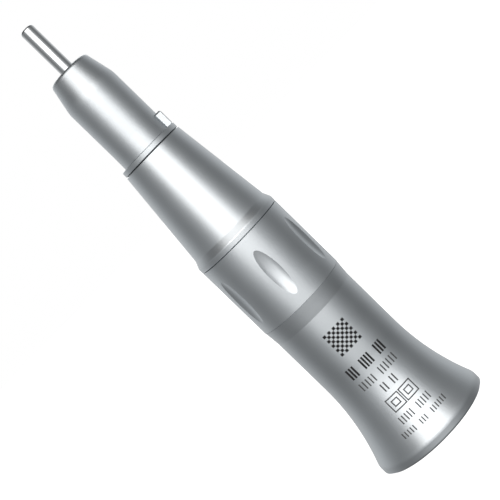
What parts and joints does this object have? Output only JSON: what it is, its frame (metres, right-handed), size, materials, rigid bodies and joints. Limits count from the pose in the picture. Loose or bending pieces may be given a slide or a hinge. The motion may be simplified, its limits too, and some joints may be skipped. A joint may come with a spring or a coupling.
{
  "type": "straight dental handpiece",
  "caption": "Straight low-speed dental handpiece with a flared rear coupling, a twist ring that opens the chuck, a keyed nose and a plain shank held in the collet.",
  "frame": {"origin": "centre of the flat rear face, on which the part stands", "axes": "+Z along the axis towards the tip, +X through the key on the nose"},
  "size_m": [0.0205, 0.0206, 0.086],
  "materials": {
    "satin_body": "fine satin blasted",
    "satin_ring": "fine satin",
    "turned_nose": "fine turned",
    "polished_shank": "polished",
    "black_seal": "matte",
    "turned_steel": "turned",
    "cage_plastic": "smooth",
    "spring_steel": "drawn wire",
    "bearing_steel": "ground"
  },
  "bodies": {
    "housing": {"rear_shell": "satin_body", "coupling_sleeve": "turned_steel", "chassis_tube": "turned_steel", "grip_seal_rear": "black_seal", "grip_seal_front": "black_seal", "front_cone": "satin_body", "nose_barrel": "turned_nose", "nose_key": "turned_nose", "nose_seal": "black_seal", "bearing_carrier": "turned_steel", "carrier_lock_ring": "turned_steel", "bearing_retainer_nut": "turned_steel", "rear_preload_washer": "spring_steel", "front_preload_washer": "spring_steel", "rear_bearing_outer_ring": "bearing_steel", "front_bearing_outer_rings": "bearing_steel", "outer_spacer": "turned_steel"},
    "ball_cages": {"rear_bearing_balls": "bearing_steel", "rear_bearing_cage": "cage_plastic", "front_bearing_balls": "bearing_steel", "front_bearing_cages": "cage_plastic"},
    "spindle": {"spindle": "turned_steel", "rear_bearing_inner_ring": "bearing_steel", "front_bearing_inner_rings": "bearing_steel", "inner_spacer": "turned_steel", "spindle_circlips": "spring_steel", "spindle_plug": "turned_steel", "closing_spring": "spring_steel", "dog_spring": "spring_steel"},
    "draw_bar": {"collet": "turned_steel", "draw_rod": "turned_steel", "spring_nut": "turned_steel", "cross_pin": "turned_steel", "thrust_collar": "turned_steel"},
    "drive_dog": {"drive_dog": "turned_steel", "dog_pin": "turned_steel"},
    "grip": {"grip_ring": "satin_ring"},
    "pusher": {"push_sleeve": "turned_steel", "cam_pins": "turned_steel"},
    "shank": {"shank_blank": "polished_shank"}
  },
  "joints": [
    {"name": "spindle_spin", "type": "hinge", "parent": "housing", "child": "spindle", "pos_m": [0, 0, 0.05], "axis": [0, 0, 1], "continuous": true},
    {"name": "cage_spin", "type": "hinge", "parent": "housing", "child": "ball_cages", "pos_m": [0, 0, 0.05], "axis": [0, 0, 1], "continuous": true},
    {"name": "grip_twist", "type": "hinge", "parent": "housing", "child": "grip", "pos_m": [0, 0, 0.035], "axis": [0, 0, 1], "range_deg": [0, 50]},
    {"name": "pusher_slide", "type": "slide", "parent": "grip", "child": "pusher", "axis": [0, 0, 1], "range_m": [0, 0.0014]},
    {"name": "chuck_slide", "type": "slide", "parent": "spindle", "child": "draw_bar", "axis": [0, 0, 1], "range_m": [0, 0.0012], "deforming": ["closing_spring"]},
    {"name": "dog_slide", "type": "slide", "parent": "spindle", "child": "drive_dog", "axis": [0, 0, 1], "range_m": [0, 0.0015], "stiffness_N_per_m": 600, "springref_m": -0.001, "deforming": ["dog_spring"]},
    {"name": "shank_pull", "type": "slide", "parent": "draw_bar", "child": "shank", "axis": [0, 0, 1], "range_m": [0, 0.0105]}
  ],
  "couplings": [
    {"joint": "cage_spin", "follows": "spindle_spin", "ratio": 0.415},
    {"joint": "grip_twist", "follows": "pusher_slide", "rad_per_m": 623.33},
    {"joint": "chuck_slide", "follows": "pusher_slide", "ratio": 0.85714}
  ]
}
